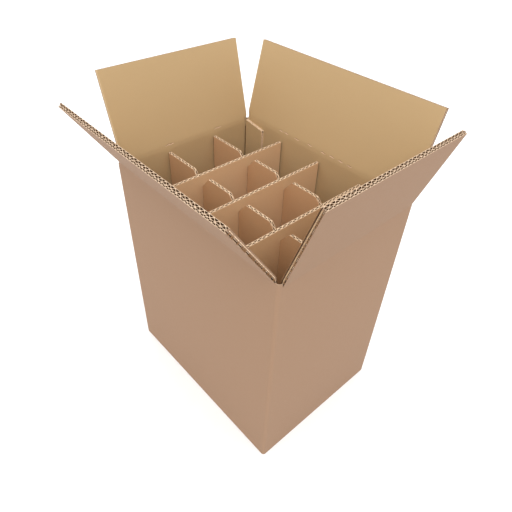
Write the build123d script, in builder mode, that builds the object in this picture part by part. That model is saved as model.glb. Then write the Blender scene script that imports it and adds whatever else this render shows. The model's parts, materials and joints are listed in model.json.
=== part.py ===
"""Open shipping carton of double-wall corrugated board with a crossed partition for twelve bottles.

Millimetres. The origin is the middle of the underside, +Z is up and +X runs along the long side.
The carton is one folded sheet. Its four top flaps stand open, each leaning outward on its fold line.
"""
from build123d import *
from math import atan2, cos, radians, sin, tan
import os

# Paper and flutes of the two boards
liner = 0.5
coarse_flute = 2.9
fine_flute = 2.0
coarse_pitch = 7.9
fine_pitch = 6.3
slat_flute = 4.0
slat_pitch = 9.2
medium = 0.5
cell_depth = 9.0
open_flute_depth = 1.6
corner_cell_half = 2.2
cut_margin = 2.0

# Carton, outside sizes and fold lines
outer_length = 359.0
outer_width = 268.0
long_fold_height = 405.0
corner_outside_radius = 5.0
corner_inside_radius = 1.5
bottom_fold_radius = 3.0

# Top flaps
slot_width = 7.6
flap_meeting_gap = 3.2
fold_clearance = 0.3
swing_below_angle = 30.0
front_flap_angle = 33.3
back_flap_angle = 14.1
left_flap_angle = 14.2
right_flap_angle = 18.0

# Glued joint inside the back wall
tab_width = 44.0
tab_thickness = 5.0
tab_taper_angle = 4.5

# Partition
partition_top = 390.0
cross_spacing = 87.6
cross_shift = 4.0
long_spacing = 93.2
long_shift = 2.9
slat_play = 1.0
slat_end_gap = 1.5
mouth_width = 38.0
mouth_depth = 19.0
mouth_round = 5.0

# Sizes that follow from those above
board = 3 * liner + coarse_flute + fine_flute
slat_board = 2 * liner + slat_flute
inside_length = outer_length - 2 * board
inside_width = outer_width - 2 * board
slot_inset = (slot_width + board) / 2
long_flap_length = outer_length - 2 * slot_inset
short_flap_length = outer_width - 2 * slot_inset
short_fold_height = long_fold_height - board - fold_clearance
long_flap_reach = (outer_width - board - flap_meeting_gap) / 2
short_flap_reach = long_flap_reach + long_fold_height - short_fold_height
wall_drop = board / 2 + fold_clearance
floor_top = 2 * board
slat_height = partition_top - floor_top
cross_positions = [cross_shift + k * cross_spacing for k in (-1, 0, 1)]
long_positions = [long_shift + k * long_spacing for k in (-0.5, 0.5)]

# Levels of the flute layers, measured from the middle of the board towards the outside of the box
coarse_level = liner - board / 2
fine_level = coarse_level + coarse_flute + liner

# Each flap: name, the way it opens, its lean, and its fold's height, outside size across, length and reach
long_flap = (long_fold_height, outer_width, long_flap_length, long_flap_reach)
short_flap = (short_fold_height, outer_length, short_flap_length, short_flap_reach)
top_flaps = (
    ("top_flap_front", Vector(0, -1, 0), front_flap_angle, long_flap),
    ("top_flap_back", Vector(0, 1, 0), back_flap_angle, long_flap),
    ("top_flap_left", Vector(-1, 0, 0), left_flap_angle, short_flap),
    ("top_flap_right", Vector(1, 0, 0), right_flap_angle, short_flap),
)

os.makedirs("parts", exist_ok=True)


def flute_cells(start, end, pitch, level, height):
    """Rows of the triangles between a zigzag medium and its liners, on an edge from start to end.

    One triangle stands on the lower liner under each crest, and one hangs between each two crests."""
    slope = atan2(height, pitch / 2)
    half_base = pitch / 2 - medium / (2 * sin(slope))
    tip = half_base * tan(slope)
    count = int((end - start) / pitch)
    first = (start + end - (count - 1) * pitch) / 2
    with Locations(*[(first + k * pitch, level) for k in range(count)]):
        Polygon((-half_base, 0), (half_base, 0), (0, tip), align=None)
    with Locations(*[(first + (k + 0.5) * pitch, level + height) for k in range(count - 1)]):
        Polygon((half_base, 0), (-half_base, 0), (0, -tip), align=None)


def bevel_level(out):
    """Height, from a fold line, of the wall top that clears a flap hanging at its outer limit."""
    below = radians(swing_below_angle)
    return -(wall_drop + out * sin(below)) / cos(below)


# The folded sheet: walls, glued bottom and glued tab
long_wall_top = long_fold_height - wall_drop
short_wall_top = short_fold_height - wall_drop
bevel_start = -wall_drop * tan(radians(swing_below_angle) / 2)
with BuildPart() as carton_body:
    with BuildSketch():
        RectangleRounded(outer_length, outer_width, corner_outside_radius)
    extrude(amount=long_wall_top)
    fillet(carton_body.faces().sort_by(Axis.Z)[0].edges(), bottom_fold_radius)
    with BuildSketch(Plane.XY.offset(board)):
        RectangleRounded(inside_length, inside_width, corner_inside_radius)
    extrude(amount=long_wall_top, mode=Mode.SUBTRACT)

    # The slots between the top flaps end at the lower fold line
    with BuildSketch(Plane.XY.offset(short_fold_height)):
        Rectangle(outer_length + cut_margin, outer_width + cut_margin)
        Rectangle(long_flap_length + 2 * fold_clearance, outer_width + cut_margin, mode=Mode.SUBTRACT)
    extrude(amount=long_fold_height, mode=Mode.SUBTRACT)

    # The short walls are one board thickness lower, so that their flaps close under the long ones
    with BuildSketch(Plane.XY.offset(short_wall_top)):
        Rectangle(outer_length + cut_margin, short_flap_length + 2 * fold_clearance)
        Rectangle(inside_length - cut_margin, short_flap_length + cut_margin, mode=Mode.SUBTRACT)
    extrude(amount=long_fold_height, mode=Mode.SUBTRACT)

    # The crushed outer half of each fold
    for _, out, _, (fold, across, span, _) in top_flaps:
        axis_point = out * ((across - board) / 2) + Vector(0, 0, fold)
        with BuildSketch(Plane(axis_point, x_dir=out, z_dir=out.cross(Vector(0, 0, 1)))):
            Polygon(
                (bevel_start, -wall_drop),
                (board, bevel_level(board)),
                (board, board),
                (bevel_start, board),
                align=None,
            )
        extrude(amount=span / 2 + fold_clearance, both=True, mode=Mode.SUBTRACT)

    # The long bottom flaps meet under the middle, and stop short of the end walls
    with BuildSketch():
        Rectangle(long_flap_length, flap_meeting_gap)
        with Locations(*[(side * (inside_length + long_flap_length) / 4, 0) for side in (-1, 1)]):
            Rectangle((inside_length - long_flap_length) / 2, inside_width)
    extrude(amount=board, mode=Mode.SUBTRACT)

    # The short bottom flaps lie on them
    bottom_reach = short_flap_reach - board / 2
    with BuildSketch(Plane.XY.offset(board)):
        with Locations(*[(side * (inside_length - bottom_reach) / 2, 0) for side in (-1, 1)]):
            Rectangle(bottom_reach, short_flap_length)
    extrude(amount=board)

    # The tab of the left wall is crushed thin and glued inside the back wall
    tab_fold = -inside_length / 2
    tab_edge = tab_fold + tab_width
    tab_drop = tab_width * tan(radians(tab_taper_angle))
    with BuildSketch(Plane((0, inside_width / 2, 0), x_dir=(1, 0, 0), z_dir=(0, -1, 0))):
        Polygon(
            (tab_fold, floor_top),
            (tab_edge, floor_top + tab_drop),
            (tab_edge, short_wall_top - tab_drop),
            (tab_fold, short_wall_top),
            align=None,
        )
    extrude(amount=tab_thickness)

    # Flutes laid open where the slots cut the corner folds, seen from the inside corner outwards
    with BuildSketch(Plane.XY.offset(short_fold_height)):
        for turn, side_x, side_y in ((45, 1, 1), (135, -1, 1), (225, -1, -1), (315, 1, -1)):
            corner = (side_x * inside_length / 2, side_y * inside_width / 2, 0)
            with Locations(Location(corner, (0, 0, turn))):
                Polygon(
                    (2 * liner, 0),
                    (liner + coarse_flute, -corner_cell_half),
                    (liner + coarse_flute, corner_cell_half),
                    align=None,
                )
                for side in (-1, 1):
                    Polygon(
                        (board / 2 + fine_level, side * corner_cell_half),
                        (board / 2 + fine_level, side * medium),
                        (board - 2 * liner, side * corner_cell_half),
                        align=None,
                    )
    extrude(amount=-cell_depth, mode=Mode.SUBTRACT)
carton_body.part.label = "carton_body"
export_step(carton_body.part, "parts/carton_body.step")

# The four top flaps, each with a half-round edge on its fold line
for name, out, tilt, (fold, across, span, reach) in top_flaps:
    up = out * sin(radians(tilt)) + Vector(0, 0, cos(radians(tilt)))
    normal = out * cos(radians(tilt)) - Vector(0, 0, sin(radians(tilt)))
    along = normal.cross(up)
    fold_point = out * ((across - board) / 2) + Vector(0, 0, fold)
    with BuildPart() as top_flap:
        with BuildSketch(Plane(fold_point, x_dir=normal, z_dir=along)):
            Circle(board / 2)
            with Locations((0, reach / 2)):
                Rectangle(board, reach)
        extrude(amount=span / 2, both=True)
        for end in (-1, 1):
            with BuildSketch(Plane(fold_point + along * end * span / 2, x_dir=normal, z_dir=along * end)):
                for level, height in ((coarse_level, coarse_flute), (fine_level, fine_flute)):
                    with Locations((level + height / 2, end * reach / 2)):
                        Rectangle(height, reach)
            extrude(amount=-open_flute_depth, mode=Mode.SUBTRACT)
        with BuildSketch(Plane(fold_point + up * reach, x_dir=along, z_dir=up)):
            row_end = span / 2 - open_flute_depth - medium
            flute_cells(-row_end, row_end, coarse_pitch, coarse_level, coarse_flute)
            flute_cells(-row_end, row_end, fine_pitch, fine_level, fine_flute)
        extrude(amount=-cell_depth, mode=Mode.SUBTRACT)
    top_flap.part.label = name
    export_step(top_flap.part, f"parts/{name}.step")

# The partition: the cross slats are slotted from below and the long slats from above, each to half its height
lap_height = slat_height / 2
slot_half = slat_board / 2 + slat_play


def slot_outline(at, mouth, towards):
    """A slot that narrows from its mouth, at the slat's edge, and ends halfway up the slat."""
    Polygon(
        (at - mouth_width / 2, mouth),
        (at - slot_half, mouth + towards * mouth_depth),
        (at - slot_half, lap_height),
        (at + slot_half, lap_height),
        (at + slot_half, mouth + towards * mouth_depth),
        (at + mouth_width / 2, mouth),
        align=None,
        mode=Mode.SUBTRACT,
    )


cross_length = inside_width - 2 * slat_end_gap
for name, x in zip(("cross_slat_left", "cross_slat_middle", "cross_slat_right"), cross_positions):
    with BuildPart() as cross_slat:
        with BuildSketch(Plane((x, 0, floor_top), x_dir=(0, 1, 0), z_dir=(1, 0, 0))) as outline:
            with Locations((0, lap_height)):
                Rectangle(cross_length, slat_height)
            for y in long_positions:
                slot_outline(y, 0, 1)
            lower = outline.vertices().group_by(Axis.Y)[0].sort_by(Axis.X)
            fillet(lower[1:-1], mouth_round)
        extrude(amount=slat_board / 2, both=True)
        with BuildSketch(Plane((x, 0, partition_top), x_dir=(0, 1, 0), z_dir=(0, 0, 1))):
            slat_end = cross_length / 2
            flute_cells(-slat_end, slat_end, slat_pitch, -slat_flute / 2, slat_flute)
        extrude(amount=-cell_depth, mode=Mode.SUBTRACT)
    cross_slat.part.label = name
    export_step(cross_slat.part, f"parts/{name}.step")

long_length = inside_length - 2 * slat_end_gap
for name, y in zip(("long_slat_front", "long_slat_back"), long_positions):
    with BuildPart() as long_slat:
        with BuildSketch(Plane((0, y, floor_top), x_dir=(1, 0, 0), z_dir=(0, -1, 0))) as outline:
            with Locations((0, lap_height)):
                Rectangle(long_length, slat_height)
            for x in cross_positions:
                slot_outline(x, slat_height, -1)
            upper = outline.vertices().group_by(Axis.Y)[-1].sort_by(Axis.X)
            fillet(upper[1:-1], mouth_round)
        extrude(amount=slat_board / 2, both=True)
        with BuildSketch(Plane((0, y, partition_top), x_dir=(1, 0, 0), z_dir=(0, 0, 1))):
            ends = [-long_length / 2]
            for x in cross_positions:
                ends += [x - mouth_width / 2 - mouth_round, x + mouth_width / 2 + mouth_round]
            ends.append(long_length / 2)
            for start, end in zip(ends[0::2], ends[1::2]):
                flute_cells(start, end, slat_pitch, -slat_flute / 2, slat_flute)
        extrude(amount=-cell_depth, mode=Mode.SUBTRACT)
    long_slat.part.label = name
    export_step(long_slat.part, f"parts/{name}.step")
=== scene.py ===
import bpy
import json
import numpy as np
from math import cos, pi, radians, sin, tan
from mathutils import Matrix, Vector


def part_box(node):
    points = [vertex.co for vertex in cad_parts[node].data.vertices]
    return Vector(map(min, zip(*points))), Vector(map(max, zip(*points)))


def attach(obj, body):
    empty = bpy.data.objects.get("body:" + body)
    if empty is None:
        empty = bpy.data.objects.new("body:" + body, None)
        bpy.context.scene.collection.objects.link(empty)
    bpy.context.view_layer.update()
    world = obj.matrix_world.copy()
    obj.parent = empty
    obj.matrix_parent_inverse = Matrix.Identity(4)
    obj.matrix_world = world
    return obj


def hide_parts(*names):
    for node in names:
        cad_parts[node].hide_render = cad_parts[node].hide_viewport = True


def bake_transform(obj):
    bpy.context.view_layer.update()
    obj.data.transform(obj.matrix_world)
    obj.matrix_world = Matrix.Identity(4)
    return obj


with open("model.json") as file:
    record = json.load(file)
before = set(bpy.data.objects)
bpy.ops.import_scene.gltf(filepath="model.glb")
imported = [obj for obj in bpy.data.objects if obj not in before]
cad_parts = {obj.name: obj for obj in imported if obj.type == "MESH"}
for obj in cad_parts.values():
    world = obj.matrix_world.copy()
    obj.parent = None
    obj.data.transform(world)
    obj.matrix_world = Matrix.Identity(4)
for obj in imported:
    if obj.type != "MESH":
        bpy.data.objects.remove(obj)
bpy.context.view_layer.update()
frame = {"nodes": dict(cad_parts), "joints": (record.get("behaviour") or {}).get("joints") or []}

# The camera stands where the photograph was taken from: above the near right-hand corner, looking down.
eye = (0.4297, -0.4108, 0.7746)
heading, look_down, roll = radians(136.31), radians(41.25), radians(2.6)
camera = bpy.data.objects.new("camera", bpy.data.cameras.new("camera"))
camera.data.sensor_width = 36
camera.data.lens = 32.9
camera.matrix_world = (
    Matrix.Translation(eye)
    @ Matrix.Rotation(heading - pi / 2, 4, "Z")
    @ Matrix.Rotation(pi / 2 - look_down, 4, "X")
    @ Matrix.Rotation(roll, 4, "Z")
)
bpy.context.scene.collection.objects.link(camera)
bpy.context.scene.camera = camera


# The papers of the carton. Liners are brown kraft with long fibres, a little yellower inside the box than
# outside. A knife leaves their edges pale and rough, and the fluted papers between them are duller. Every
# pattern is laid out on the flat board, so that it bends with it.
class Field:
    """An output of a shader node. Python's operators on it add Math nodes, so patterns read as formulas."""

    def __init__(self, tree, socket=None):
        self.tree = tree
        self.socket = socket

    def node(self, kind, settings, inputs, output=0):
        """Adds a node of a kind, makes its settings, sets or links its inputs, and gives one output."""
        made = self.tree.nodes.new("ShaderNode" + kind)
        for name, value in settings.items():
            setattr(made, name, value)
        for name, value in inputs.items():
            if isinstance(value, Field):
                self.tree.links.new(value.socket, made.inputs[name])
            else:
                made.inputs[name].default_value = value
        return Field(self.tree, made.outputs[output])

    def maths(self, operation, *values):
        """The result of a Math node's operation on the values."""
        return self.node("Math", {"operation": operation}, dict(enumerate(values)))

    def __add__(self, other):
        return self.maths("ADD", self, other)

    def __sub__(self, other):
        return self.maths("SUBTRACT", self, other)

    def __rsub__(self, other):
        return self.maths("SUBTRACT", other, self)

    def __mul__(self, other):
        return self.maths("MULTIPLY", self, other)

    __radd__, __rmul__ = __add__, __mul__

    def part(self, index):
        """One of a vector's three numbers."""
        return self.node("SeparateXYZ", {}, {0: self}, index)

    def stretched(self, *factors):
        """A vector with each number times its own factor, so that noise on it is drawn out."""
        return self.node("VectorMath", {"operation": "MULTIPLY"}, {0: self, 1: factors})

    def noise(self, scale, detail):
        """Soft noise from 0 to 1, with scale lumps a metre and detail finer layers on top."""
        return self.node("TexNoise", {}, {"Vector": self, "Scale": scale, "Detail": detail})

    def step(self, start, end):
        """0 below start and 1 above end, with a smooth rise between."""
        return self.node("MapRange", {"interpolation_type": "SMOOTHSTEP"}, {0: self, 1: start, 2: end})

    def mix(self, low, high):
        """The colour this far on the way from low to high."""
        return self.node("Mix", {"data_type": "RGBA"}, {0: self, 6: (*low, 1), 7: (*high, 1)}, 2)


def finish(name, pattern):
    """A material whose pattern gives a colour, a roughness and a height in metres on the flat board."""
    material = bpy.data.materials.new(name)
    material.use_nodes = True
    tree = material.node_tree
    flat = Field(tree).node("Attribute", {"attribute_name": "flat"}, {}, 1)
    colour, roughness, height = pattern(flat)
    normal = height.node("Bump", {}, {"Distance": 1.0, "Height": height})
    shader = tree.nodes["Principled BSDF"]
    for socket, field in (("Base Color", colour), ("Roughness", roughness), ("Normal", normal)):
        tree.links.new(field.socket, shader.inputs[socket])
    return material


def kraft(dark, light, pitch):
    """Kraft liner: clouds, fibres that lie across the flutes, bark specks, and ridges over the flutes,
    which are a bump and also painted shade in faint stripes of the colour.
    """

    def pattern(flat):
        clouds = flat.noise(14, 3)
        fibres = flat.stretched(130, 900, 900).noise(1, 4)
        grain = flat.noise(1100, 2)
        specks = flat.stretched(500, 1300, 1300).noise(1, 0).step(0.73, 0.80)
        ridges_and_stripe_shade = (flat.part(0) * (2 * pi / pitch)).maths("SINE")
        tone = 0.5 + (clouds - 0.5) * 0.9 + (fibres - 0.5) * 0.9 + (grain - 0.5) * 0.4
        # The ridges also shift the tone in faint stripes over the flutes: painted shade of the washboard.
        tone = tone + ridges_and_stripe_shade * 0.07 - specks * 0.9
        roughness = 0.82 - (fibres - 0.5) * 0.3
        height = clouds * 0.0007 + fibres * 0.00007 + grain * 0.00002 + ridges_and_stripe_shade * 0.00003
        return tone.maths("MAXIMUM", 0.0).mix(dark, light), roughness, height

    return pattern


def cut_paper(dark, light):
    """The pale torn rim of a paper, broken up by its fibres."""

    def pattern(flat):
        tufts = flat.noise(420, 3)
        grain = flat.noise(1900, 1)
        tone = 0.55 + (tufts - 0.5) * 1.6 + (grain - 0.5) * 0.8
        return tone.mix(dark, light), 0.9 - tufts * 0.1, tufts * 0.0003 + grain * 0.0001

    return pattern


def core_paper(flat):
    """The dull recycled paper of the flutes and of the faces inside the board."""
    clouds = flat.noise(60, 3)
    grain = flat.noise(1300, 2)
    tone = 0.5 + (clouds - 0.5) * 0.8 + (grain - 0.5) * 0.8
    return tone.mix((0.15, 0.07, 0.026), (0.30, 0.16, 0.07)), 0.95 - grain * 0.1, grain * 0.00005


coarse_pitch, fine_pitch = 0.0079, 0.0063
cut_edge = finish("cut_edge", cut_paper((0.42, 0.28, 0.17), (0.80, 0.60, 0.43)))
core = finish("core_paper", core_paper)
carton_finishes = [
    finish("inner_liner", kraft((0.430, 0.293, 0.147), (0.568, 0.400, 0.212), coarse_pitch)),
    finish("outer_liner", kraft((0.246, 0.146, 0.086), (0.336, 0.203, 0.122), fine_pitch)),
    cut_edge,
    core,
    finish("crushed_edge", cut_paper((0.50, 0.34, 0.20), (0.92, 0.70, 0.49))),
]
INSIDE, OUTSIDE, CUT, CORE, CRUSHED = range(5)


# The carton is one sheet of double-wall board, with three liners and a coarse and a fine row of flutes
# between them. It is cut, creased and folded round, and glued at the tab inside the back wall. Here are
# the walls and the bottom, up to just under the creases of the top flaps.
carton_low, carton_high = (np.array(corner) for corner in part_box("carton_body"))
half_length, half_width = (carton_high - carton_low)[:2] / 2
folds = {joint["name"]: joint["pos_m"] for joint in frame["joints"]}
long_fold, short_fold = folds["front_flap_fold"][2], folds["left_flap_fold"][2]
liner_paper = 0.00045
coarse_flute, coarse_paper = 0.0030, 0.00085
fine_flute, fine_paper = 0.00205, 0.0006
board = 3 * liner_paper + coarse_flute + fine_flute
coarse_level = liner_paper - board / 2
fine_level = coarse_level + coarse_flute + liner_paper
outer_level = board / 2 - liner_paper
coarse_row = (coarse_pitch, coarse_level, coarse_flute, coarse_paper)
fine_row = (fine_pitch, fine_level, fine_flute, fine_paper)
slot_inset = 0.0070
corner_outside, corner_inside, bottom_round, sharpest_round = 0.005, 0.0005, 0.003, 0.0002
crease_reach = 0.012


def paper(place, s, t, low, high, finishes, keep=None, rim=CUT, side_rim=None):
    """One paper of a board: a closed skin between the depths low and high, over a grid of s and t.

    s runs across the flutes, t along them and the depth towards the outside of the box, in metres on the
    flat board, and place carries all three to the folded board. The lower face takes the first finish and
    the upper face the second. A rim closes the skin wherever the grid or the kept cells end, and can differ
    where s ends."""
    low, high = np.broadcast_to(low, s.shape), np.broadcast_to(high, s.shape)
    flat = np.stack([np.stack([s, t, depth], -1) for depth in (low, high)]).reshape(-1, 3)
    points = np.stack([place(s, t, depth) for depth in (low, high)]).reshape(-1, 3)
    rows, columns = s.shape
    index = np.arange(s.size).reshape(s.shape)
    a, b, c, d = index[:-1, :-1], index[1:, :-1], index[1:, 1:], index[:-1, 1:]
    keep = np.ones(a.shape, bool) if keep is None else keep
    around = np.pad(keep, 1)
    faces = [np.stack([d, c, b, a], -1)[keep], np.stack([a, b, c, d], -1)[keep] + s.size]
    for p, q, i, j in ((a, b, 0, -1), (b, c, 1, 0), (c, d, 0, 1), (d, a, -1, 0)):
        ends = keep & ~around[1 + i : rows + i, 1 + j : columns + j]
        faces.append(np.stack([p, q, q + s.size, p + s.size], -1)[ends])
    side_rim = rim if side_rim is None else side_rim
    face_finishes = np.repeat([*finishes, rim, side_rim, rim, side_rim], [len(group) for group in faces])
    return points, flat, np.concatenate(faces), face_finishes


def wave(s, height, length, start=0.0):
    """A slow wave over the board: height times the sine of start and one whole turn a length."""
    return height * np.sin(2 * pi * s / length + start)


def fluted_paper(place, s, t, pitch, level, height, thickness, keep=None, rim=CUT):
    """A fluted paper: its middle swings from liner to liner as a sine of s, cut off where it is glued to
    them. Slow waves make the pitch and the height of the flutes slightly uneven."""
    drift = wave(s, 0.0005, 0.083) + wave(s, 0.0003, 0.0371, 1)
    swing = (height - thickness) / 2 * (1 - wave(s, 0.06, 0.057, level * 900))
    middle = level + height / 2 + swing * np.clip(1.3 * np.sin(2 * pi * (s + drift) / pitch), -1, 1)
    return paper(place, s, t, middle - thickness / 2, middle + thickness / 2, (CORE, CORE), keep, rim)


def along(start, end, step):
    """Even stations from start to end, at most a step apart."""
    return np.linspace(start, end, int(np.ceil((end - start) / step)) + 1)


def grid(s, t):
    """Every pair of a station across the flutes and one along them, as two arrays."""
    return np.meshgrid(s, t, indexing="ij")


def flat_board(origin, across, out):
    """Places a board that stays flat: s along across, t at right angles to it and the depth towards out."""
    origin, across, out = (np.array(vector, float) for vector in (origin, across, out))
    up = np.cross(out, across)

    def place(s, t, d):
        return origin + across * s[..., None] + up * t[..., None] + out * d[..., None]

    return place


# The sides in the order of the blank, from the glued tab round to the free edge that meets it
side_outs = np.array([(-1, 0, 0), (0, -1, 0), (1, 0, 0), (0, 1, 0)], float)
side_across = np.cross((0, 0, 1), side_outs)
side_halves = np.array([half_width, half_length, half_width, half_length])
side_distances = np.roll(side_halves, 1)
side_ends = np.cumsum(2 * side_halves)
side_middles = side_ends - side_halves
flap_halves = side_halves - slot_inset
blank_length = side_ends[-1]


def wall_place(s, t, d):
    """Carries the blank round the walls and its lower edge under them.

    Each level of each layer is a rectangle with round corners. Its corner radius grows from the inner face
    of the board to the outer one, and the bottom fold moves it inwards by a quarter circle and then along
    the floor."""
    side = np.searchsorted(side_ends[:-1], s)
    local = s - side_middles[side]
    half, distance, flap_half = side_halves[side], side_distances[side], flap_halves[side]
    in_from_face = board / 2 - d
    turn = np.clip((bottom_round - t) / bottom_round, 0, pi / 2)
    under = np.clip(bottom_round * (1 - pi / 2) - t, 0, None)
    inset = bottom_round - (bottom_round - in_from_face) * np.cos(turn) + under
    height = np.maximum(t, bottom_round) - (bottom_round - in_from_face) * np.sin(turn)
    radius = corner_outside - (corner_outside - corner_inside) * in_from_face / board
    radius = np.clip(radius - (inset - in_from_face), sharpest_round, None)
    straight = half - corner_outside
    share = np.clip((np.abs(local) - flap_half) / (straight - flap_half), 0, 1)
    sideways = np.minimum(np.abs(local), flap_half) + share * (half - inset - radius - flap_half)
    corner = np.clip((np.abs(local) - straight) / corner_outside, 0, 1) * pi / 4
    sideways = np.sign(local) * (sideways + radius * np.sin(corner))
    outwards = distance - inset - radius * (1 - np.cos(corner))
    across, out = side_across[side], side_outs[side]
    points = across * sideways[..., None] + out * outwards[..., None]
    points[..., 2] = height
    return points


def wall_cells(s, t, near_slot=short_fold):
    """The cells of a grid that are wall: up to the slots at the corners, and to the creases between them.

    near_slot is where the slot of the near right-hand corner ends."""
    s, t = (s[:-1, :-1] + s[1:, :-1]) / 2, (t[:-1, :-1] + t[:-1, 1:]) / 2
    side = np.searchsorted(side_ends[:-1], s)
    in_flap = np.abs(s - side_middles[side]) < flap_halves[side]
    slot_bottom = np.where(np.abs(s - side_ends[1]) < 2 * slot_inset, near_slot, short_fold)
    top = np.where(in_flap, np.where(side % 2, long_fold, short_fold) - crease_reach, slot_bottom)
    return t < top


# Stations round the blank, closer together at the folds, and up it, to the creases and the slots
corner_step, arc_step, plain_step = 0.0008, 0.0006, 0.05
stations = [0, blank_length, *(side_middles - flap_halves), *(side_middles + flap_halves)]
for corner in [0, *side_ends]:
    stations += list(corner + along(-corner_outside, corner_outside, corner_step))
stations = np.unique(np.round(stations, 7))
stations = stations[(stations >= 0) & (stations <= blank_length)]
tops = [short_fold - crease_reach, long_fold - crease_reach, short_fold, long_fold]
under_fold = bottom_round * (1 - pi / 2)
floor_reach = under_fold - board + bottom_round

# The inner liner leaves a dark line beside the tab's fold, where it has split. The papers inside the board
# show only at the slots, so they start a little below these. The fluted ones lie only round the corners.
split_end, halfway_up, hidden_below, post_half = 0.0118, 0.2, 0.36, 0.02
outer = grid(stations, np.array([floor_reach, *along(under_fold, bottom_round, arc_step), *tops]))
inner = grid(np.unique([*stations, split_end]), np.array([board, halfway_up, *tops]))
middle = grid(stations, np.array([hidden_below, *tops]))
unsplit = wall_cells(*inner) & (inner[0][:-1, :-1] >= split_end)
outer_cells = wall_cells(*outer, long_fold)
carton = [
    paper(wall_place, *outer, outer_level, board / 2, (CORE, OUTSIDE), outer_cells),
    paper(wall_place, *middle, fine_level - liner_paper, fine_level, (CORE, CORE), wall_cells(*middle)),
    paper(wall_place, *inner, -board / 2, coarse_level, (INSIDE, CORE), unsplit),
]
post_step = 0.0005
for corner in [0, *side_ends]:
    s = along(corner - post_half, corner + post_half, post_step)
    s = s[(s > corner_step) & (s < blank_length - corner_step)]
    post = grid(s, np.array([hidden_below, *tops]))
    for flutes in (coarse_row, fine_row):
        carton.append(fluted_paper(wall_place, *post, *flutes, wall_cells(*post)))

# The bottom: the short flaps lie on the long ones, which meet along the middle.
flap_gap, recess_half = 0.0016, 0.0404
short_reach = half_length - board - recess_half
long_reach = half_width - board - flap_gap
for sign in (-1, 1):
    place = flat_board((0, sign * (half_width - board), board / 2), (sign, 0, 0), (0, 0, -1))
    bottom = grid(along(-flap_halves[1], flap_halves[1], plain_step), along(0, long_reach, plain_step))
    carton.append(paper(place, *bottom, -board / 2, board / 2, (INSIDE, OUTSIDE)))
    place = flat_board((sign * (half_length - board), 0, board * 1.5), (0, -sign, 0), (0, 0, -1))
    bottom = grid(along(-flap_halves[0], flap_halves[0], plain_step), along(0, short_reach, plain_step))
    carton.append(paper(place, *bottom, -board / 2, board / 2, (INSIDE, CORE)))


def build(name, skins, finishes, sheet=0):
    """Joins skins into one mesh that keeps each point's place on the flat board and each face's finish.

    Each sheet's places start a metre further on, so that no two have the same clouds and fibres."""
    points, flat, faces, face_finishes = zip(*skins)
    first = np.cumsum([0, *map(len, points)])
    faces = np.concatenate([group + start for group, start in zip(faces, first)])
    used, corners = np.unique(faces, return_inverse=True)
    mesh = bpy.data.meshes.new(name)
    mesh.from_pydata(np.concatenate(points)[used], [], corners.reshape(-1, 4))
    flat = (np.concatenate(flat)[used] + (0, sheet, 0)).astype(np.float32)
    mesh.attributes.new("flat", "FLOAT_VECTOR", "POINT").data.foreach_set("vector", flat.ravel())
    mesh.polygons.foreach_set("material_index", np.concatenate(face_finishes))
    mesh.polygons.foreach_set("use_smooth", np.ones(len(faces), bool))
    mesh.set_sharp_from_angle(angle=radians(40))
    for material in finishes:
        mesh.materials.append(material)
    piece = bpy.data.objects.new(name, mesh)
    bpy.context.scene.collection.objects.link(piece)
    return piece


# The glued tab: the left wall's board goes on round the last fold, crushed thin, inside the back wall. Its
# inner liner has split along the fold. Its free edge is cut along a flute, whose paper closes it halfway,
# and its upper end is crushed shut.
tab_width, tab_board, tab_taper = 0.044, 0.005, tan(radians(9))
tab_top = short_fold + 0.001
tab_liner, tab_coarse, tab_fine, tab_paper = 0.0007, 0.0017, 0.0012, 0.0009
tab_level = tab_liner - tab_board / 2
tab_fine_level = tab_level + tab_coarse + tab_liner
tab_row = (coarse_pitch, tab_level, tab_coarse, tab_paper)
tab_fine_row = (fine_pitch, tab_fine_level, tab_fine, tab_paper)
tab_step, split_width = 0.0005, 0.0018
crushed_step, crushed_below, crushed_deep = 0.002, 0.0004, 0.003
edge_level, edge_in, edge_out = -0.0009, 0.0004, 0.0001
tab_place = flat_board((board - half_length, half_width - board - tab_board / 2, 0), (-1, 0, 0), (0, 1, 0))


def tab_grid(start, end, step, below=0.0, deep=1.0):
    """The tab's outline, or a strip of it just below its upper end, which slopes down to the free edge."""
    s, t = grid(along(start, end, step), along(0, 1, 0.5))
    top = tab_top + s * tab_taper - below
    bottom = np.maximum(2 * board, top - deep)
    return s, bottom + (top - bottom) * t


split_tab = tab_grid(-tab_width, -split_width, tab_step)
inner_tab = tab_grid(-tab_width, -2 * split_width, tab_step)
whole_tab = tab_grid(-tab_width, 0, tab_step)
crushed_end = tab_grid(-tab_width, -split_width, crushed_step, crushed_below, crushed_deep)
carton += [
    paper(tab_place, *split_tab, -tab_board / 2, tab_level, (INSIDE, CORE), None, CRUSHED),
    paper(tab_place, *inner_tab, tab_fine_level - tab_liner, tab_fine_level, (CORE, CORE), None, CRUSHED),
    paper(tab_place, *whole_tab, tab_board / 2 - tab_liner, tab_board / 2, (CORE, OUTSIDE), None, CRUSHED),
    fluted_paper(tab_place, *inner_tab, *tab_row, None, CRUSHED),
    fluted_paper(tab_place, *inner_tab, *tab_fine_row, None, CRUSHED),
    paper(tab_place, *crushed_end, tab_level, -tab_level, (CORE, CORE), None, CRUSHED),
]
edge_foot = (board - half_length + tab_width, half_width - board - tab_board / 2, 0)
edge_place = flat_board(edge_foot, (0, 1, 0), (1, 0, 0))
edge_top = tab_top - tab_width * tab_taper
tab_edge = grid(np.array([tab_level, edge_level]), np.array([2 * board, edge_top]))
carton.append(paper(edge_place, *tab_edge, -edge_in, edge_out, (CORE, CRUSHED), None, CRUSHED))
walls = build("carton_walls", carton, carton_finishes)
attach(walls, "carton")
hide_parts("carton_body")

# The four top flaps, each creased so that it bends softly out of its wall. The piece takes in the strip of
# wall under the crease.
bend_half, hinge_half = 0.007, 0.006
groove_deep, groove_half = 0.00006, 0.0010
dent_deep, dent_half = 0.0005, 0.0045
end_deep, end_up, end_in = 0.0026, 0.0055, 0.0040


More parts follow.
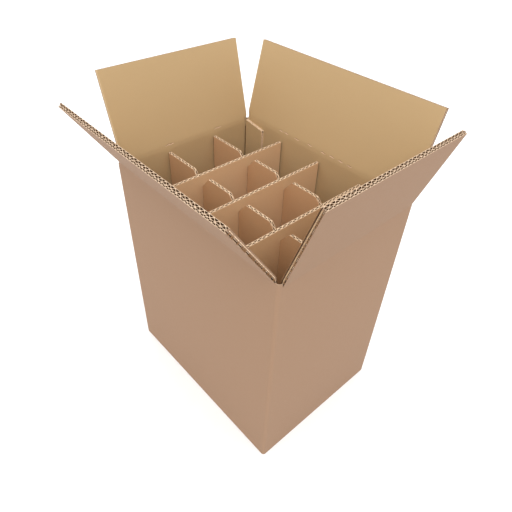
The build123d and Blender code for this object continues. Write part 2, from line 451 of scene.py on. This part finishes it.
def hump(distance, half):
    """1 at no distance and nearly 0 at twice half: the exponential of minus the square of their ratio."""
    return np.exp(-((distance / half) ** 2))


def flap_place(fold_height, distance, out, across, middle, half, lean):
    """Bends the board outwards on its crease: a circle's arc that touches the wall and the leaning flap.

    The crease presses a narrow groove into the inner face and a shallow wide dent into the outer face, and
    the slots leave its ends crushed thin."""
    bend_radius = bend_half / tan(lean / 2)

    def place(s, t, d):
        above = t - fold_height
        turn = lean * np.clip((above + bend_half) / (2 * bend_half), 0, 1)
        beyond = np.clip(above - bend_half, 0, None)
        outwards = bend_radius * (1 - np.cos(turn)) + beyond * sin(lean)
        height = np.minimum(above, -bend_half) + bend_radius * np.sin(turn) + beyond * cos(lean)
        crushed = end_deep * hump(above, end_up) * hump(half - np.abs(s - middle), end_in)
        pressed_in = (crushed + groove_deep * hump(above, groove_half)) * (0.5 - d / board)
        pressed_out = dent_deep * hump(above, dent_half) * (0.5 + d / board)
        depth = d + pressed_in - pressed_out
        outwards = outwards + distance + depth * np.cos(turn)
        points = across * (s - middle)[..., None] + out * outwards[..., None]
        points[..., 2] = height + fold_height - depth * np.sin(turn)
        return points

    return place


# Short cracks in the inner liner along each crease: their places from the flap's middle, and half the
# length of one. Each is a lens of pale torn paper with a thin dark sheet above it, painted shade of the
# slit.
crack_middles = {
    "left": (-0.059, 0.041),
    "front": (-0.120, -0.031, 0.088),
    "right": (-0.052, 0.070),
    "back": (0.086, 0.074, 0.049, 0.020, -0.010, -0.028, -0.046, -0.064),
}
crack_halves = {"left": 0.009, "front": 0.007, "right": 0.007, "back": 0.0055}
crack_open, crack_up, crack_step, shade_strip_rise = 0.0016, 0.0026, 0.001, 0.0003
crack_spread, crack_waver, waver_length = 0.0006, 0.0004, 0.0013
torn_proud, shade_strip_proud = 0.0002, 0.0001


def crack(place, at, up, half):
    """A crack at a place on the flat board. It wavers as a sine and closes, as the square of s, to a tenth
    of its width."""
    s, edge = grid(along(-half, half, crack_step), np.array([-0.5, 0.5]))
    t = up + crack_waver * np.sin(s / waver_length)
    opening = crack_open * (1 - 0.9 * (s / half) ** 2)
    face = -board / 2
    lens, core_shade_strip = t + edge * opening, t + (edge + 1) * opening / 2 + shade_strip_rise
    return [
        paper(place, s + at, lens, face - torn_proud, face, (CRUSHED, CRUSHED), None, CRUSHED),
        # The dark strip is a thin sheet of core paper on the face: painted shade of the crack's open slit.
        paper(place, s + at, core_shade_strip, face - shade_strip_proud, face, (CORE, CORE), None, CORE),
    ]


# How the knife has left each flap's side cuts: the depths between which the outer papers close them, the
# depth of a torn pale line, and the finishes of the closing paper, of the line and of the bits torn into
# the rest. The inner liner's edge has a finish of its own; on the right flap it is the dark core finish,
# painted shade along the cut.
side_cuts = {
    "left": (-0.0028, 0.0028, 0.0000, INSIDE, CRUSHED, CUT),
    "front": (-0.0028, -0.0002, -0.0012, OUTSIDE, CRUSHED, CORE),
    "right": (-0.0014, 0.0006, -0.0004, OUTSIDE, INSIDE, CORE),
    "back": (-0.0008, 0.0016, 0.0004, OUTSIDE, CRUSHED, CUT),
}
# The right flap's inner liner edge is painted dark as shade along the cut.
inner_rims = {"left": INSIDE, "front": OUTSIDE, "right": CORE, "back": CUT}
closing_in, bits_in = np.array([0.0004, 0.0016]), np.array([0.0003, 0.0013])
bits_from, bits_short, bit_length, torn_share = 0.010, 0.002, 0.0009, 0.25
line_below, line_above = 0.0004, 0.0003


def side_papers(place, side, name, middle, half, up, bits):
    """The papers in a flap's two side cuts: the closing one, the pale line, and bits torn at random."""
    closed_from, closed_to, pale, closing, pale_finish, torn_finish = side_cuts[name]
    torn = np.random.default_rng(side).random((1, len(bits) - 1)) < torn_share
    line, rest = (pale - line_below, pale + line_above), (closed_to, outer_level)
    made = []
    for end in (-1, 1):
        s, t = grid(np.sort(middle + end * (half - closing_in)), up)
        made.append(paper(place, s, t, closed_from, closed_to, (CORE, CORE), None, closing))
        s, t = grid(np.sort(middle + end * (half - bits_in)), bits)
        made.append(paper(place, s, t, *line, (CUT, CUT), ~torn, pale_finish))
        made.append(paper(place, s, t, *rest, (torn_finish, torn_finish), torn, torn_finish))
    return made


flap_leans = {"left": 14.2, "front": 33.3, "right": 18.0, "back": 14.1}
flap_reach = half_width - board / 2 - flap_gap
near_crease = 0.001 * np.array([-12, -9, *range(-7, 8), 9, 12])
near_end = np.array([0, 0.0015, 0.003, 0.0045, 0.006, 0.008])
end_step, up_step = 0.01, 0.03
middle_inset, flutes_inset, flute_steps = 0.0012, 0.0018, 12
for side, (name, lean) in enumerate(flap_leans.items()):
    fold_height = long_fold if side % 2 else short_fold
    reach = flap_reach + long_fold - fold_height
    middle, half = side_middles[side], flap_halves[side]
    out, across, distance = side_outs[side], side_across[side], side_distances[side] - board / 2
    place = flap_place(fold_height, distance, out, across, middle, half, radians(lean))
    up = np.concatenate([near_crease, along(up_step, reach, up_step)]) + fold_height
    straight = along(end_step - half, half - end_step, end_step)
    s = np.concatenate([near_end - half, straight, half - near_end[::-1]]) + middle
    whole = grid(s, up)
    inset = grid(middle + (s - middle) * (1 - middle_inset / half), up)
    skins = [
        paper(place, *whole, outer_level, board / 2, (CORE, OUTSIDE), None, CUT, OUTSIDE),
        paper(place, *inset, fine_level - liner_paper, fine_level, (CORE, CORE)),
        paper(place, *whole, -board / 2, coarse_level, (INSIDE, CORE), None, CUT, inner_rims[name]),
    ]
    for number, crack_middle in enumerate(crack_middles[name]):
        crack_height = fold_height + crack_up + crack_spread * sin(2.6 * number)
        skins += crack(place, middle + crack_middle, crack_height, crack_halves[name])
    bits = along(-bits_from, reach - bits_short, bit_length) + fold_height
    skins += side_papers(place, side, name, middle, half, up, bits)
    cut = half - flutes_inset
    up = np.array([crease_reach, plain_step, 2 * plain_step, reach]) + fold_height
    for flutes in (coarse_row, fine_row):
        s = along(middle - cut, middle + cut, flutes[0] / flute_steps)
        skins.append(fluted_paper(place, *grid(s, up), *flutes))
    flap = build(f"{name}_flap_board", skins, carton_finishes)
    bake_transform(flap)
    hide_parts(f"top_flap_{name}")

# The partition: slats of single-wall board, halved into each other. The cross slats are slotted from below
# and the long slats from above, and each slot has a flared mouth. Each slat's outer liner ends a little
# short of the others and bares the dark fluted paper at both ends, as painted shade for the gap at the
# wall.
slat_pitch, slat_board, slat_paper, slat_medium = 0.0092, 0.005, 0.0008, 0.0015
slat_flute = slat_board - 2 * slat_paper
flute_level = -slat_flute / 2
mouth_half, mouth_depth, mouth_round, slot_clear = 0.019, 0.019, 0.0015, 0.0035
# How far the outer liner stops short at each end, baring dark fluted paper as painted shade for the gap at
# the wall.
end_shade_inset = 0.0014
# Two copies of one slat liner: a lighter one, painted light, for the faces towards +x and +y, and a darker,
# redder one, painted shade, for the faces towards -x and -y.
painted_light_liner = finish("slat_pale_liner", kraft((0.56, 0.36, 0.20), (0.78, 0.52, 0.30), slat_pitch))
painted_shade_liner = finish("slat_red_liner", kraft((0.47, 0.273, 0.14), (0.647, 0.39, 0.207), slat_pitch))
slat_boxes = {name: [np.array(end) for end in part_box(name)] for name in frame["nodes"] if "slat" in name}
slat_centres = {name: (low + high) / 2 for name, (low, high) in slat_boxes.items()}


def slat_grid(half, crossings, bottom, top, slotted_from_above):
    """A slat's outline, as heights at its bottom, middle and top over its length, and the cells to keep.

    The slotted edge falls away into each mouth on a slope that starts with a round shoulder."""
    flutes = along(-half, half, slat_pitch / flute_steps)
    s = np.unique(np.round([*flutes, *(crossings - slot_clear), *(crossings + slot_clear)], 6))
    from_slot = np.abs(s[:, None] - crossings).min(-1)
    fall = (mouth_half - from_slot) * mouth_depth / (mouth_half - slot_clear)
    fall = (fall + np.sqrt(fall**2 + mouth_round**2)) / 2
    middle = (bottom + top) / 2
    edges = [bottom, middle, top - fall] if slotted_from_above else [bottom + fall, middle, top]
    t = np.stack([np.broadcast_to(edge, s.shape) for edge in edges], -1)
    keep = np.ones((len(s) - 1, 2), bool)
    centres = (s[1:] + s[:-1]) / 2
    slotted = 1 if slotted_from_above else 0
    keep[:, slotted] = np.abs(centres[:, None] - crossings).min(-1) > slot_clear
    return np.broadcast_to(s[:, None], t.shape), t, keep


for sheet, (name, (low, high)) in enumerate(slat_boxes.items(), 1):
    lengthwise = name.startswith("long")
    axis = 0 if lengthwise else 1
    across, out = ((1, 0, 0), (0, -1, 0)) if lengthwise else ((0, 1, 0), (1, 0, 0))
    half = (high - low)[axis] / 2
    crossings = np.array([c[axis] for other, c in slat_centres.items() if other[:4] != name[:4]])
    centre = slat_centres[name]
    place = flat_board((centre[0] * (not lengthwise), centre[1] * lengthwise, 0), across, out)
    s, t, keep = slat_grid(half, crossings, low[2], high[2], lengthwise)
    # The outer liner is shortened at both ends: painted shade where the slat meets the wall.
    shade_inset_s = s * (1 - end_shade_inset / half)
    skins = [
        paper(place, s, t, -slat_board / 2, flute_level, (INSIDE, CORE), keep),
        paper(place, shade_inset_s, t, -flute_level, slat_board / 2, (CORE, OUTSIDE), keep),
        fluted_paper(place, s, t, slat_pitch, flute_level, slat_flute, slat_medium, keep),
    ]
    # Painted light and shade: faces towards +x or +y take the lighter liner, faces towards -x or -y the
    # darker one.
    liners = [painted_light_liner, painted_shade_liner] if lengthwise else [painted_shade_liner, painted_light_liner]
    slat = build(f"{name}_board", skins, [*liners, carton_finishes[CRUSHED], core], sheet)
    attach(slat, "carton")
    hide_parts(name)


# The floor and the light. The box stands on a wide sheet of smooth white paper, under an even sky and one
# very wide soft light from over the camera.
def white_paper(flat):
    """Smooth white paper with the faintest mottle."""
    mottle = flat.noise(30, 3)
    return mottle.mix((0.90, 0.90, 0.90), (0.94, 0.94, 0.94)), 0.6 + mottle * 0.1, mottle * 0.00002


floor_radius, floor_corners = 9, 64
angle = np.linspace(0, 2 * pi, floor_corners, endpoint=False)
ring = floor_radius * np.stack([np.cos(angle), np.sin(angle), 0 * angle], -1)
ground = bpy.data.meshes.new("floor")
ground.from_pydata(ring, [], [range(floor_corners)])
places = ring.astype(np.float32).ravel()
ground.attributes.new("flat", "FLOAT_VECTOR", "POINT").data.foreach_set("vector", places)
ground.materials.append(finish("white_paper", white_paper))
floor = bpy.data.objects.new("floor", ground)
bpy.context.scene.collection.objects.link(floor)
light = bpy.data.objects.new("soft_light", bpy.data.lights.new("soft_light", "SUN"))
light.data.energy = 1.48
light.data.angle = radians(40)
light_from, light_height = radians(-45), radians(54)
light.rotation_euler = (pi / 2 - light_height, 0, light_from + pi / 2)
bpy.context.scene.collection.objects.link(light)
world = bpy.data.worlds.new("sky")
bpy.context.scene.world = world
world.use_nodes = True
sky = world.node_tree.nodes["Background"]
sky.inputs["Strength"].default_value = 1.16
sky.inputs["Color"].default_value = (1, 1, 1, 1)
bpy.context.scene.view_settings.view_transform = "Standard"
